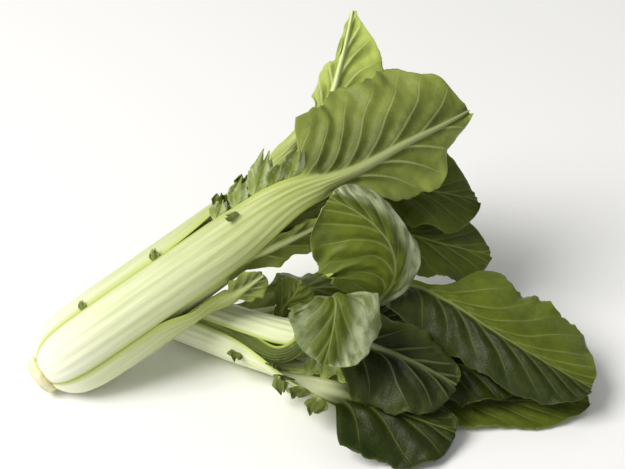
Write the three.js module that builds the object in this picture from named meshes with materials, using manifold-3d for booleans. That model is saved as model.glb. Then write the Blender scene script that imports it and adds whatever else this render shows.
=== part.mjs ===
// A bunch of two bok choy heads lying on a table, the upper head propped across the lower one.
// Millimetres, +Z up. The origin is on the table, on the flat spot under the lower head.
// Each leaf is a pale stalk, which runs on as the midrib behind its blade, and a green blade.
import * as THREE from "three";
import { mergeVertices } from "three/addons/utils/BufferGeometryUtils.js";
import Module from "manifold-3d";

const wasm = await Module();
wasm.setup();
const { smoothstep, lerp } = THREE.MathUtils;
const point = (x, y, z) => new THREE.Vector3(x, y, z);
const radians = THREE.MathUtils.degToRad;

// Driving dimensions of a head.
const SWELL_LENGTH = 11; // how quickly the stalks swell out of the cut stem
const LAYER_RATIO = 0.76; // radius of each layer of stalks against the layer outside it
const LAYER_START = 7; // how much further up the stem each inner layer starts
const FIRST_START = 1; // where the outer stalks start, above the cut face's plane
const STALK_SPREAD = radians(42); // half the angle that a stalk's base takes round the head
const STALK_LOBE = 0.12; // how far a stalk's edges fall in, as a share of its radius
const STALK_THICKNESS = 0.2; // of a stalk's base, as a share of its radius
const EDGE_THICKNESS = 1.3; // of a stalk, along its two edges

// Driving dimensions of a leaf.
const BLADE_THICKNESS = 0.8;
const GAP = 0.5; // clearance between pieces that touch
const RIB_START_THICKNESS = 4.6; // of the stalk where the blade starts
const RIB_END = { halfWidth: 1, thickness: 1.1 }; // the midrib at the blade's tip
const LEAFLET_THICKNESS = 1;
const TIP_CURVE = 2.3; // how late a blade's end turns in
const LOBES = { share: 0.045, rate: 19 }; // of a blade's edge: how deep, and radians along the blade
const LEAFLET_ROOT = 1.1; // how deep a leaflet's root sits in its stalk
const LEAFLET_BASE = 0.3; // width of a leaflet's root, as a share of the leaflet's
const LEAFLET_TAPER = 2.9; // how far round its swell a leaflet goes; at pi its end is as narrow as its root
const LEAFLET_TEARS = 0.12; // depth of the tears in a leaflet's end, as a share of its length
const LEAFLET_RUFFLE = 0.1; // height of a leaflet's folds, as a share of its width
const FLOOR_SOFTNESS = 2.5; // how gently a blade bends where it meets the table

// Mesh resolution.
const SPINE_STEPS = 96;
const STALK_SEGMENTS = 4;
const BASE_RINGS = [0, 5, 11, 19, 31]; // distances up the stalk
const STALK_RINGS = 4; // from there to the blade
const BLADE_ROWS = 10;
const BLADE_COLUMNS = 8;
const RIB_ROWS = 8; // how many of the blade's rows the midrib runs along
const LEAFLET_ROWS = 4;
const LEAFLET_COLUMNS = 4;

const COLOURS = { stem: "#e2dcae", stalk: "#dfe6b8", blade: "#5c7f2c" };
const MATERIALS = {
  stem: new THREE.MeshStandardMaterial({ color: COLOURS.stem, roughness: 0.7 }),
  stalk: new THREE.MeshStandardMaterial({ color: COLOURS.stalk, roughness: 0.45 }),
  blade: new THREE.MeshStandardMaterial({ color: COLOURS.blade, roughness: 0.5, side: THREE.DoubleSide }),
};

// The two heads. axis points from the cut stem to the leaves.
const HEADS = {
  upper: { origin: point(-107, -57, 16.2), axis: point(0.82, 0.325, 0.465), cutRadius: 14.5, radius: 32.5 },
  lower: { origin: point(-52, 30, 20.5), axis: point(0.865, -0.5, -0.01), cutRadius: 11, radius: 22 },
};
for (const head of Object.values(HEADS)) {
  head.axis.normalize();
  head.up = point(0, 0, 1).addScaledVector(head.axis, -head.axis.z).normalize();
  head.side = head.axis.clone().cross(head.up);
}

// The leaves. layer 0 is outermost. angle is where the stalk stands round its head, in degrees: 0 is on
// top and 90 faces the front. bundled is how far up the head it keeps to the head's axis, and path is its
// back past there. The stalk starts to narrow at narrow, a share of its length, down to neck, half its
// width where the blade starts.
// blade is the blade's length, width its two half-widths and bend how far its two halves curl towards the
// inner face, in degrees. Each half begins as a wing, a share of its width, widens from start to shoulder,
// is full width to taper and narrows from there to end, all shares of the length: tip is 0.5 where it is
// round and more where it is pointed. strip is how much of the blade runs on past a half's end.
// wave is the height of the margin's waves and waves how many there are. face is the way that the inner
// face looks at mid-blade.
// leaflets are the torn scraps of blade on a stalk: [distance up the stalk, place across it from -1 to 1,
// length, width, splay from straight out to the side in degrees, lean up the stalk in degrees].
const LEAF = {
  narrow: 0.3, neck: 8.5, wing: [0.2, 0.2], start: [-0.04, -0.04], shoulder: [0.35, 0.35],
  taper: [0.55, 0.55], end: [1.005, 1.005], tip: [0.5, 0.5], strip: 0.35, wave: 3, waves: 2, leaflets: [],
};
const LEAVES = {
  upper: [
    // the broad leaf in front, its back to the front
    {
      layer: 0, angle: 45, bundled: 218,
      path: [[118, 6, 150], [154, 22, 163], [180, 36, 169], [201, 52, 172]], narrow: 0.62, neck: 9.5,
      blade: 125, width: [44, 60], bend: [45, 35], wing: [0.2, 0.85], shoulder: [0.6, 0.45],
      taper: [0.58, 0.55], end: [0.8, 1.005], tip: [0.7, 0.5], strip: 0.85, wave: 5, waves: 2.5,
      face: [0, 0.82, -0.57],
      leaflets: [
        [54, 1, 6, 6, 30, 20], [118, 1, 8, 8, 20, 30], [170, 1, 14, 14, 70, 52], [186, 1, 20, 16, 74, 50],
        [186, 0.5, 11, 9, 10, -40], [201, 1, 30, 18, 74, 52], [216, 1, 17, 14, 45, 55],
        [229, 1, 20, 18, 72, 45],
      ],
    },
    // the tallest leaf, standing behind it
    {
      layer: 0, angle: -45, bundled: 212, path: [[98, 74, 166], [108, 93, 190], [117, 120, 219]],
      narrow: 0.5, neck: 7.5, blade: 120, width: [39, 26], bend: [10, 100], wing: [0.4, 0.25],
      start: [0.1, 0.33], shoulder: [0.42, 0.46], taper: [0.42, 0.46], end: [1.005, 0.67],
      tip: [1.1, 0.5], face: [0.1, 0.8, -0.55],
      leaflets: [[178, -1, 9, 14, 5, 40], [196, -1, 10, 15, 0, 50]],
    },
    // a short outer leaf, low in front
    {
      layer: 0, angle: 135, bundled: 118, path: [[30, -36, 67], [52, -33, 85]], narrow: 0.6, neck: 7,
      blade: 30, width: [13, 13], bend: [-20, -20], shoulder: [0.3, 0.3], wave: 1.5, face: [0, 0.8, 0.1],
    },
    {
      layer: 0, angle: 225, bundled: 190,
      path: [[88, 48, 91], [125, 52, 104], [155, 54, 102], [185, 56, 96], [212, 62, 86]], blade: 105,
      width: [34, 34], bend: [30, -20], wave: 4, face: [0, -0.3, 1],
    },
    {
      layer: 1, angle: 0, bundled: 190, path: [[75, 24, 146], [105, 46, 164], [130, 70, 180]], blade: 72,
      width: [18, 18], bend: [10, 10], waves: 3, face: [0.3, 0.4, -0.8],
    },
    // small leaves low in the middle
    {
      layer: 1, angle: 90, bundled: 165, path: [[58, -24, 101], [80, -17, 109], [100, -9, 116]],
      narrow: 0.5, blade: 66, width: [21, 8], bend: [20, 20], wing: [0.7, 0.2], wave: 2,
    },
    {
      layer: 1, angle: 180, bundled: 180,
      path: [[82, 16, 80], [115, 26, 84], [148, 30, 78], [184, 32, 66], [222, 40, 50]], blade: 120,
      width: [36, 30], bend: [-20, -20], wave: 4, face: [-0.1, -0.4, 1],
    },
    {
      layer: 1, angle: 270, bundled: 185, path: [[76, 64, 108], [108, 100, 104], [138, 132, 88]],
      blade: 80, width: [36, 34], bend: [-20, -30], shoulder: [0.4, 0.4], wave: 4, face: [-0.1, 0.4, 1],
    },
    {
      layer: 2, angle: 133, bundled: 168, path: [[60, -8, 94], [80, 0, 100], [98, 8, 104]], blade: 60,
      width: [18, 18], bend: [20, 20], wave: 2,
    },
    {
      layer: 2, angle: 45, bundled: 200, path: [[92, 12, 127], [122, 30, 132], [150, 44, 132]], blade: 72,
      width: [14, 16], bend: [-10, -10], shoulder: [0.4, 0.4], wave: 2, face: [0, 0.78, -0.62],
    },
    {
      layer: 2, angle: 225, bundled: 200, path: [[96, 50, 116], [126, 72, 130], [154, 92, 140]],
      blade: 85, width: [24, 24], bend: [30, 30], shoulder: [0.4, 0.4], face: [-0.2, 0, 1],
    },
  ],
  lower: [
    {
      layer: 0, angle: 354, bundled: 90,
      path: [[70, -42, 48], [103, -62, 54], [126, -73, 57], [157, -84, 50], [188, -93, 36]], narrow: 0.72,
      neck: 5, blade: 92, width: [40, 30], bend: [35, 20], wing: [0.3, 1.25], shoulder: [0.3, 0.25],
      wave: 4, face: [0, 0.35, -1],
    },
    {
      layer: 0, angle: 96, bundled: 90,
      path: [[60, -64, 18], [92, -83, 20], [113, -95, 22], [150, -107, 18], [186, -116, 10]], neck: 10,
      blade: 82, width: [22, 40], bend: [-20, -30], shoulder: [0.3, 0.16], face: [0, -0.2, 1],
      leaflets: [
        [106, 0.5, 13, 12, 10, 45], [150, 0.5, 12, 12, 0, 40], [166, -1, 19, 14, 130, 0],
        [178, -1, 22, 16, 118, 0], [194, -1, 20, 20, 112, 10], [146, 1, 8, 12, 70, 20],
        [160, 1, 10, 16, 80, 10], [174, 1, 11, 18, 75, 10], [188, 1, 12, 18, 80, 10],
      ],
    },
    // lies along the table
    {
      layer: 0, angle: 182, bundled: 90,
      path: [
        [67, -40, 1], [102, -57, 2], [152, -68, 2.5], [202, -75, 2.5], [245, -76, 2.5], [286, -76, 2.5],
      ],
      blade: 150, width: [27, 27], bend: [-15, -15], shoulder: [0.4, 0.4], wave: 2, face: [0, 0, 1],
    },
    {
      layer: 0, angle: 268, bundled: 80, path: [[58, 31, 18], [90, 48, 11], [118, 60, 4]], blade: 74,
      width: [28, 28], bend: [-20, -20], shoulder: [0.4, 0.4], face: [0, 0, 1],
    },
    // droops over the front
    {
      layer: 1, angle: 47, bundled: 90,
      path: [
        [60, -63, 36], [82, -77, 62], [97, -73, 90], [102, -84, 100], [100, -98, 85], [95, -106, 66],
      ],
      narrow: 0.05, neck: 5, blade: 72, width: [33, 31], bend: [-30, -30], shoulder: [0.3, 0.3],
      face: [0, -0.7, 0.7],
    },
    {
      layer: 1, angle: 133, bundled: 90,
      path: [[60, -47, 9], [110, -58, 18], [155, -58, 24], [200, -64, 25], [232, -78, 18]], blade: 100,
      width: [30, 30], bend: [-20, -20], shoulder: [0.4, 0.4], face: [0, -0.2, 1],
    },
    // the long leaf at the back
    {
      layer: 1, angle: 223, bundled: 90,
      path: [
        [75, -10, 15], [115, -2, 30], [156, -3, 50], [184, -27, 55], [215, -54, 50], [248, -71, 38],
        [284, -83, 22],
      ],
      blade: 166, width: [51, 34], bend: [-2, -60], wing: [0.1, 0.9], start: [0.12, -0.04],
      shoulder: [0.33, 0.2], taper: [0.74, 0.55], tip: [0.42, 0.5], wave: 4, waves: 2.5,
      face: [0.2, -0.2, 1],
    },
    // the cupped leaf that stands facing the front
    {
      layer: 1, angle: 309, bundled: 84,
      path: [
        [56, 12, 23], [90, -1, 43], [115, -18, 51], [131, -25, 60], [144, -27, 82], [141, -26, 108],
        [126, -24, 128], [99, -20, 145],
      ],
      narrow: 0.1, neck: 5.5, blade: 105, width: [51, 30], bend: [-15, -100], wing: [0.92, 0.3],
      shoulder: [0.4, 0.4], taper: [0.75, 0.5], tip: [0.42, 0.55], face: [0, -0.8, 0.57],
    },
    {
      layer: 2, angle: 10, bundled: 90, path: [[59, -9, 33], [68, -12, 46], [75, -17, 59], [79, -23, 75]],
      narrow: 0.1, neck: 5, blade: 40, width: [15, 15], bend: [-20, -20], shoulder: [0.4, 0.4], wave: 2,
      face: [0, -0.8, 0.57],
    },
    // hidden in the middle
    {
      layer: 2.4, angle: 200, bundled: 105,
      path: [[80, -31, 12], [104, -24, 13], [126, -9, 15], [146, 3, 18], [166, 9, 22]], narrow: 0.1,
      neck: 5, blade: 64, width: [22, 22], bend: [-10, -10], face: [0, 0, 1],
    },
  ],
};

// Meshes and solids.

function geometryOf(positions, faces) {
  const geometry = new THREE.BufferGeometry();
  const numbers = positions.flatMap((p) => p.toArray());
  geometry.setAttribute("position", new THREE.Float32BufferAttribute(numbers, 3));
  geometry.setIndex(faces.flat());
  return geometry;
}

function solidOf(geometry) {
  const bare = geometry.clone();
  bare.deleteAttribute("normal");
  bare.deleteAttribute("uv");
  const merged = mergeVertices(bare, 1e-4);
  return new wasm.Manifold(new wasm.Mesh({
    numProp: 3,
    vertProperties: merged.attributes.position.array,
    triVerts: new Uint32Array(merged.index.array),
  }));
}

function meshOf(name, material, solid) {
  const { vertProperties, triVerts } = solid.getMesh();
  const geometry = new THREE.BufferGeometry();
  geometry.setAttribute("position", new THREE.BufferAttribute(vertProperties, 3));
  geometry.setIndex(new THREE.BufferAttribute(triVerts, 1));
  geometry.computeVertexNormals();
  const mesh = new THREE.Mesh(geometry, material);
  mesh.name = name;
  return mesh;
}

// A closed sheet between two grids of points alike in size, both split along the same diagonals.
function sheetGeometry(over, under) {
  const rows = over.length;
  const columns = over[0].length;
  const half = rows * columns;
  const faces = [];
  const at = (row, column) => row * columns + column;
  for (let row = 0; row + 1 < rows; row++) {
    for (let column = 0; column + 1 < columns; column++) {
      const [a, b] = [at(row, column), at(row, column + 1)];
      const [c, d] = [at(row + 1, column + 1), at(row + 1, column)];
      faces.push([a, b, c], [a, c, d]);
      faces.push([half + a, half + c, half + b], [half + a, half + d, half + c]);
    }
  }
  const rim = [];
  for (let column = 0; column + 1 < columns; column++) rim.push(at(0, column));
  for (let row = 0; row + 1 < rows; row++) rim.push(at(row, columns - 1));
  for (let column = columns - 1; column > 0; column--) rim.push(at(rows - 1, column));
  for (let row = rows - 1; row > 0; row--) rim.push(at(row, 0));
  rim.forEach((a, i) => {
    const b = rim[(i + 1) % rim.length];
    faces.push([a, half + a, half + b], [a, half + b, b]);
  });
  return geometryOf([...over.flat(), ...under.flat()], faces);
}

// The form of a leaf.

const backRadius = (head, layer, along) =>
  (head.radius - (head.radius - head.cutRadius) * Math.exp(-along / SWELL_LENGTH)) * LAYER_RATIO ** layer;

const outward = (head, angle) =>
  head.up.clone().multiplyScalar(Math.cos(angle)).addScaledVector(head.side, Math.sin(angle));

// The leaf's back line from the stem to the tip, and its frames: t along it, n to the inner face, b across.
function spineOf(head, leaf) {
  const angle = radians(leaf.angle);
  const out = outward(head, angle);
  const start = FIRST_START + LAYER_START * leaf.layer;
  const stations = [0, 4, 9, 17, 30, 50].map((along) => start + along);
  for (let along = 90; along < leaf.bundled - 20; along += 40) stations.push(along);
  stations.push(leaf.bundled);
  const bundled = stations.map((along) => {
    const onAxis = head.origin.clone().addScaledVector(head.axis, along);
    return onAxis.addScaledVector(out, backRadius(head, leaf.layer, along));
  });
  const path = leaf.path.map((p) => point(...p));
  const curve = new THREE.CatmullRomCurve3([...bundled, ...path], false, "centripetal");
  const length = curve.getLength();
  const frames = [];
  let n = out.clone().negate();
  for (let i = 0; i <= SPINE_STEPS; i++) {
    const share = i / SPINE_STEPS;
    const free = smoothstep(share * length, leaf.bundled - 40, leaf.bundled + 10);
    const t = head.axis.clone().lerp(curve.getTangentAt(share), free).normalize();
    n = n.clone().addScaledVector(t, -n.dot(t)).normalize();
    frames.push({ p: curve.getPointAt(share), t, n });
  }
  rollTo(frames, leaf, length);
  for (const frame of frames) frame.b = frame.t.clone().cross(frame.n);
  return { frames, length, bladeStart: 1 - leaf.blade / length };
}

// Turns the frames about the leaf's line, so that the inner face looks leaf.face's way at mid-blade.
function rollTo(frames, leaf, length) {
  if (!leaf.face) return;
  const bladeStart = 1 - leaf.blade / length;
  const rollStart = Math.min(leaf.bundled / length, bladeStart - 0.15);
  const frame = frames[Math.round(lerp(bladeStart, 1, 0.5) * SPINE_STEPS)];
  const wanted = point(...leaf.face).normalize();
  wanted.addScaledVector(frame.t, -wanted.dot(frame.t)).normalize();
  const roll = Math.atan2(frame.n.clone().cross(wanted).dot(frame.t), frame.n.dot(wanted));
  frames.forEach((f, i) => {
    f.n.applyAxisAngle(f.t, roll * smoothstep(i / SPINE_STEPS, rollStart, bladeStart + 0.05));
  });
}

function frameAt(spine, share) {
  const place = THREE.MathUtils.clamp(share, 0, 1) * SPINE_STEPS;
  const i = Math.min(Math.floor(place), SPINE_STEPS - 1);
  const [a, b] = [spine.frames[i], spine.frames[i + 1]];
  const mix = (key) => a[key].clone().lerp(b[key], place - i);
  return { p: mix("p"), b: mix("b").normalize(), n: mix("n").normalize() };
}

// Half-width of half a blade against its widest: a narrow wing, a broad middle and a round or pointed
// tip. along runs 0 to 1.
function outline(along, leaf, half) {
  const taper = leaf.taper[half];
  const widening = lerp(leaf.wing[half], 1, smoothstep(along, leaf.start[half], leaf.shoulder[half]));
  const past = Math.max(0, (along - taper) / (leaf.end[half] - taper));
  const narrowing = Math.max(0, 1 - past ** TIP_CURVE) ** leaf.tip[half];
  const strip = leaf.strip * Math.sqrt(Math.max(0.005, 1 - along));
  const lobes = 1 + LOBES.share * Math.sin(LOBES.rate * along + leaf.angle) * smoothstep(along, 0.05, 0.3);
  return widening * Math.max(narrowing, strip) * lobes;
}

// Where the blade's middle surface lies across its line: x across and y to the inner face. across runs
// from -1 to 1.
function bladeSection(leaf, along, across) {
  const left = across < 0;
  const half = left ? 0 : 1;
  const shape = outline(along, leaf, half);
  const reach = leaf.width[half] * shape;
  const bend = radians(leaf.bend[half]) * shape * smoothstep(along, 0, 0.5) || 1e-6;
  const turned = bend * Math.abs(across);
  const wave = leaf.wave * Math.abs(across) ** 3 * smoothstep(along, 0.05, 0.35) *
    Math.sin(2 * Math.PI * leaf.waves * along + leaf.angle + (left ? 0 : 2.1));
  return {
    x: ((reach * Math.sin(turned)) / bend) * (left ? -1 : 1),
    y: (reach * (1 - Math.cos(turned))) / bend + wave,
  };
}

function stalkSize(head, leaf, spine, share) {
  const along = share * spine.length;
  const upHead = frameAt(spine, share).p.sub(head.origin).dot(head.axis);
  const radius = backRadius(head, leaf.layer, upHead);
  const bladeAt = spine.bladeStart * spine.length;
  const narrowing = smoothstep(along, leaf.narrow * bladeAt, 1.04 * bladeAt);
  const inBlade = THREE.MathUtils.clamp((along - bladeAt) / (spine.length - bladeAt), 0, 1);
  return {
    radius,
    halfWidth: along < bladeAt
      ? lerp(STALK_SPREAD * radius, leaf.neck, narrowing)
      : lerp(leaf.neck, RIB_END.halfWidth, inBlade ** 0.4),
    thickness: along < bladeAt
      ? lerp(STALK_THICKNESS * radius, RIB_START_THICKNESS, narrowing)
      : lerp(RIB_START_THICKNESS, RIB_END.thickness, Math.sqrt(inBlade)),
    flat: smoothstep(along, bladeAt - 60, bladeAt - 4),
    inBlade,
  };
}

// One ring of the stalk: its back from left to right, then its inner side back again.
function stalkRing(head, leaf, spine, share) {
  const { p, b, n } = frameAt(spine, share);
  const size = stalkSize(head, leaf, spine, share);
  const place = (x, y) => p.clone().addScaledVector(b, x).addScaledVector(n, y);
  const back = [];
  const inner = [];
  for (let i = 0; i <= STALK_SEGMENTS; i++) {
    const across = (2 * i) / STALK_SEGMENTS - 1;
    const turn = (across * size.halfWidth) / size.radius;
    const edge = Math.min(EDGE_THICKNESS, 0.5 * size.thickness);
    const thickness = lerp(size.thickness, edge, across ** 2);
    const radius = size.radius * (1 - STALK_LOBE * (turn / STALK_SPREAD) ** 2);
    const round = place(radius * Math.sin(turn), size.radius - radius * Math.cos(turn));
    const roundInner = round.clone().addScaledVector(b, -thickness * Math.sin(turn))
      .addScaledVector(n, thickness * Math.cos(turn));
    const column = (across < 0 ? -2 : 2) / BLADE_COLUMNS;
    const beside = bladeSection(leaf, size.inBlade, column);
    const share = Math.abs((across * size.halfWidth) / beside.x);
    const flatInner = place(share * beside.x, size.thickness + share * beside.y);
    const flat = flatInner.clone().addScaledVector(n, -thickness);
    back.push(round.lerp(flat, size.flat));
    inner.push(roundInner.lerp(flatInner, size.flat));
  }
  return { back, inner };
}

// How far along its blade a row is.
const rowAt = (row) => 1 - (1 - row / (BLADE_ROWS - 1)) ** 1.5;

function stalkSolid(head, leaf, spine) {
  const shares = BASE_RINGS.map((along) => along / spine.length);
  const first = shares.at(-1);
  for (let i = 1; i < STALK_RINGS; i++) shares.push(lerp(first, spine.bladeStart, i / STALK_RINGS));
  for (let row = 0; row < RIB_ROWS; row++) shares.push(lerp(spine.bladeStart, 1, rowAt(row)));
  const backs = [];
  const inners = [];
  for (const share of shares) {
    const { back, inner } = stalkRing(head, leaf, spine, share);
    backs.push(back);
    inners.push(inner);
  }
  const stalk = solidOf(sheetGeometry(inners, backs));
  const rings = { shares, backs, inners };
  const leaflets = leaf.leaflets.map((leaflet) => leafletSolid(spine, rings, leaflet));
  return leaflets.reduce((whole, leaflet) => whole.add(leaflet), stalk);
}

// A scrap of blade that stands on a stalk, in the plane of the stalk's line, its root sunk into the stalk.
function leafletSolid(spine, { shares, backs, inners }, [up, across, length, width, splay, lean]) {
  const share = up / spine.length;
  const ring = shares.findIndex((next) => next > share) - 1;
  const between = (share - shares[ring]) / (shares[ring + 1] - shares[ring]);
  const column = Math.round(((across + 1) / 2) * STALK_SEGMENTS);
  const on = (sheet) => sheet[ring][column].clone().lerp(sheet[ring + 1][column], between);
  const surface = on(backs);
  const out = surface.clone().sub(on(inners)).normalize();
  const { t } = spine.frames[Math.round(share * SPINE_STEPS)];
  const side = out.clone().cross(t).multiplyScalar(Math.sign(across));
  const outward = turnTo(out, side, radians(splay)).normalize();
  const ahead = turnTo(outward, t, radians(lean));
  const wide = turnTo(t, outward, -radians(lean));
  const face = ahead.clone().cross(wide);
  const root = surface.addScaledVector(out, -LEAFLET_ROOT);
  const over = [];
  const under = [];
  for (let row = 0; row <= LEAFLET_ROWS; row++) {
    const u = row / LEAFLET_ROWS;
    const reach = (width / 2) * lerp(LEAFLET_BASE, 1, Math.sin(LEAFLET_TAPER * u));
    over.push([]);
    under.push([]);
    for (let column = 0; column <= LEAFLET_COLUMNS; column++) {
      const v = (2 * column) / LEAFLET_COLUMNS - 1;
      const ragged = 1 + LEAFLET_TEARS * u * Math.sin(7 * v + up);
      const folds = 1 + Math.cos(5 * v + 3 * u + up);
      const ruffle = -LEAFLET_RUFFLE * width * u * folds * Math.sign(across);
      const middle = root.clone().addScaledVector(ahead, (length + LEAFLET_ROOT) * u * ragged)
        .addScaledVector(wide, reach * v).addScaledVector(face, ruffle);
      over[row].push(middle.clone().addScaledVector(face, -LEAFLET_THICKNESS / 2));
      under[row].push(middle.addScaledVector(face, LEAFLET_THICKNESS / 2));
    }
  }
  return solidOf(sheetGeometry(over, under));
}

function turnTo(from, to, angle) {
  return from.clone().multiplyScalar(Math.cos(angle)).addScaledVector(to, Math.sin(angle));
}

// Lifts a point that would lie below the resting height.
function rested(p, rest) {
  const over = (p.z - rest) / FLOOR_SOFTNESS;
  p.z = over > 20 ? p.z : rest + FLOOR_SOFTNESS * Math.log1p(Math.exp(over));
  return p;
}

function bladePoint(head, leaf, spine, along, across) {
  const share = lerp(spine.bladeStart, 1, along);
  const { p, b, n } = frameAt(spine, share);
  const lift = stalkSize(head, leaf, spine, share).thickness + GAP + BLADE_THICKNESS / 2;
  const section = bladeSection(leaf, along, across);
  p.addScaledVector(b, section.x).addScaledVector(n, lift + section.y);
  return rested(p, BLADE_THICKNESS);
}

function bladeSolid(head, leaf, spine) {
  const over = [];
  const under = [];
  const step = 0.01;
  for (let i = 0; i < BLADE_ROWS; i++) {
    const along = rowAt(i);
    over.push([]);
    under.push([]);
    for (let j = 0; j <= BLADE_COLUMNS; j++) {
      const across = (2 * j) / BLADE_COLUMNS - 1;
      const at = (u, v) => bladePoint(head, leaf, spine, u, v);
      const ahead = at(along + step, across).sub(at(along - step, across));
      const aside = at(along, across + step).sub(at(along, across - step));
      const normal = aside.cross(ahead).normalize().multiplyScalar(BLADE_THICKNESS / 2);
      const middle = at(along, across);
      over[i].push(middle.clone().add(normal));
      under[i].push(middle.sub(normal));
    }
  }
  return solidOf(sheetGeometry(over, under));
}

// The bunch.

// The cut stem: a slightly domed cut face, and steps inside the stalks where each layer of them starts.
function stemSolid(head) {
  const { cutRadius: r } = head;
  const profile = [
    [0, -8.8], [0.62 * r, -8.3], [0.92 * r, -7], [1.0 * r, -5.2], [1.03 * r, -0.6], [1.0 * r, 0.6],
    [0.76 * r, 0.6], [1.08 * r, 7.5], [0.66 * r, 7.5], [0.8 * r, 14.4], [0.5 * r, 14.4], [0.5 * r, 19],
    [0, 22],
  ];
  const turned = new THREE.LatheGeometry(profile.map(([x, y]) => new THREE.Vector2(x, y)), 20);
  const along = new THREE.Quaternion().setFromUnitVectors(point(0, 1, 0), head.axis);
  turned.applyQuaternion(along);
  turned.translate(head.origin.x, head.origin.y, head.origin.z);
  return solidOf(turned);
}

// Takes off what would lie below the table, which leaves a flat spot where the bunch rests.
const BELOW_TABLE = solidOf(new THREE.BoxGeometry(900, 900, 50).translate(0, 0, -25));

const bunch = new THREE.Group();
for (const [headName, head] of Object.entries(HEADS)) {
  bunch.add(meshOf(`${headName}_stem`, MATERIALS.stem, stemSolid(head)));
  LEAVES[headName].forEach((own, i) => {
    const leaf = { ...LEAF, ...own };
    const spine = spineOf(head, leaf);
    const name = `${headName}_leaf_${i + 1}`;
    const stalk = stalkSolid(head, leaf, spine).subtract(BELOW_TABLE);
    bunch.add(meshOf(`${name}_stalk`, MATERIALS.stalk, stalk));
    bunch.add(meshOf(`${name}_blade`, MATERIALS.blade, bladeSolid(head, leaf, spine)));
  });
}

export default bunch;
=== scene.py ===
"""Two heads of bok choy lying on a pale table, the upper head propped across the lower one."""
import math
from types import SimpleNamespace

import bpy
import numpy as np
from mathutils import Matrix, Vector


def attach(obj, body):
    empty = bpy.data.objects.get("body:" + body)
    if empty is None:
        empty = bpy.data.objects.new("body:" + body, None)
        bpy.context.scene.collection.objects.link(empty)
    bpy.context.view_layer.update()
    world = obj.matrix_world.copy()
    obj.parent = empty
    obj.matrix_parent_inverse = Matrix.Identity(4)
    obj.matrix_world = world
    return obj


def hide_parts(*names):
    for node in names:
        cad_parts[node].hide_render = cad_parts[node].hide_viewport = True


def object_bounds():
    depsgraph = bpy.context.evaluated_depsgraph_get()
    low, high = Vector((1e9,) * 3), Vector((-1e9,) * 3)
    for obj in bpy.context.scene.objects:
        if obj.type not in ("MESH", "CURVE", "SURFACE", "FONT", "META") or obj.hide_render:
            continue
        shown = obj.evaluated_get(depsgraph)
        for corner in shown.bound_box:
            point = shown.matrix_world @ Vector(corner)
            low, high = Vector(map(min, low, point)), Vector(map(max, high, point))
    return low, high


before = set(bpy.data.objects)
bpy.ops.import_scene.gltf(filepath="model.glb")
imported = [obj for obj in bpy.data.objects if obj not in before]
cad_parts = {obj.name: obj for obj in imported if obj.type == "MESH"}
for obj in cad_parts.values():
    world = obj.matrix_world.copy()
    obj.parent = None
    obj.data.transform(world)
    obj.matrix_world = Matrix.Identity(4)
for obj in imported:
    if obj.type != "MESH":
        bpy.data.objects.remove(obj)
cad_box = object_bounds()

# Everything is worked out in millimetres, the solids' unit, and turned to metres when a mesh is made.
MM = 0.001

# The heads and leaves, as the solids have them.
SWELL_LENGTH = 11  # the head swells from its cut stem within about this length
LAYER_RATIO = 0.76  # radius of a layer of stalks against the one around it
LAYER_START = 7  # how much further up the stem each layer inwards starts
FIRST_START = 1  # how far up the stem the outermost layer starts
STALK_SPREAD = math.radians(44.2)  # nearly as wide as the room between two stalks
STALK_LOBE = 0.12  # how far a stalk's edges lie in from its middle, against its radius
STALK_THICKNESS = 0.2  # against its radius too
EDGE_THICKNESS = 1.3  # of a stalk's two edges
RIB_START_THICKNESS = 4.6  # of the midrib, where the blade starts
RIB_END_HALF_WIDTH = 1.0
RIB_END_THICKNESS = 1.1
TIP_CURVE = 2.3  # how late a blade narrows to its tip
LOBE_SHARE = 0.045  # height of the margin's shallow lobes, against the half-width
LOBE_RATE = 19
LEAFLET_ROOT = 1.1  # how deep a leaflet's root is sunk into its stalk
BLADE_LIFT = 1.3  # the blade's inner face over the stalk's, where the blade is a piece of its own
BLADE_REST = 1.2  # the lowest that a blade's inner face lies
FLOOR_SOFTNESS = 2.5  # how gently a blade bends as it comes down to that

# The meshes. A leaf has a row of points every so often along it, closer at its foot and towards its tip.
SPINE_STEPS = 400
FOOT_LENGTH = 32
FOOT_ROW = 1.4
STALK_ROW = 3.2
BLADE_ROW = 1.5
TIP_CROWDING = 1.3
HALF_COLUMNS = (12, 36)  # the fewest and the most columns in half a leaf
LEAFLET_ROWS = 28
LEAFLET_COLUMNS = 33
STEM_SIDES = 72

# The blades' finer form.
LAMINA = 0.7  # thickness between the veins
TEETH = ((9, 0.02), (3.5, 0.012))  # length of the margin's teeth, and their height against the half-width
VEIN_LAG = 12.0  # how far a side vein runs beside the midrib before it turns out
VEIN_TURN = 8.0  # how far out it is by then
VEIN_DRIFT = 0.07  # how unevenly the side veins are spaced
VEIN_HEIGHT = 0.6  # how far a side vein stands proud of the back
VEIN_HALF_WIDTH = 1.3
FOLD = 4.2  # how far the blade bulges between two side veins
FOLD_AT_TIP = 0.45  # the share of it that is left at the tip
FINE_PUCKER = (10, 0.3)  # length and height of the fine puckers between the veins
BROAD_PUCKER = (34, 1.2)
RIB_FURROW = 0.5  # depth of the furrow over the midrib
RIB_SHOULDER = 0.8  # height of the swelling beside it

# The ridges up a stalk: how many there are from its middle to its edge, and their height.
RIDGES = (3.2, 0.26)
FINE_RIDGES = (9, 0.03)

# The leaflets' finer form. All but the first two are shares of a leaflet's length or width.
LEAFLET_THICKNESS = 0.8
LEAFLET_TAPER = 2.9  # how far round a half turn its outline goes, in radians
LEAFLET_BASE = 0.3  # its width at the root
LEAFLET_FRILL = 0.06  # unevenness of its two sides
LEAFLET_TEARS = 0.12  # depth of the tears in its end
LEAFLET_FRAY = 0.03
LEAFLET_BOW = 0.08  # how far the corners of its end fall short
LEAFLET_CURL = 0.1
LEAFLET_CRIMP = 0.05

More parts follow.
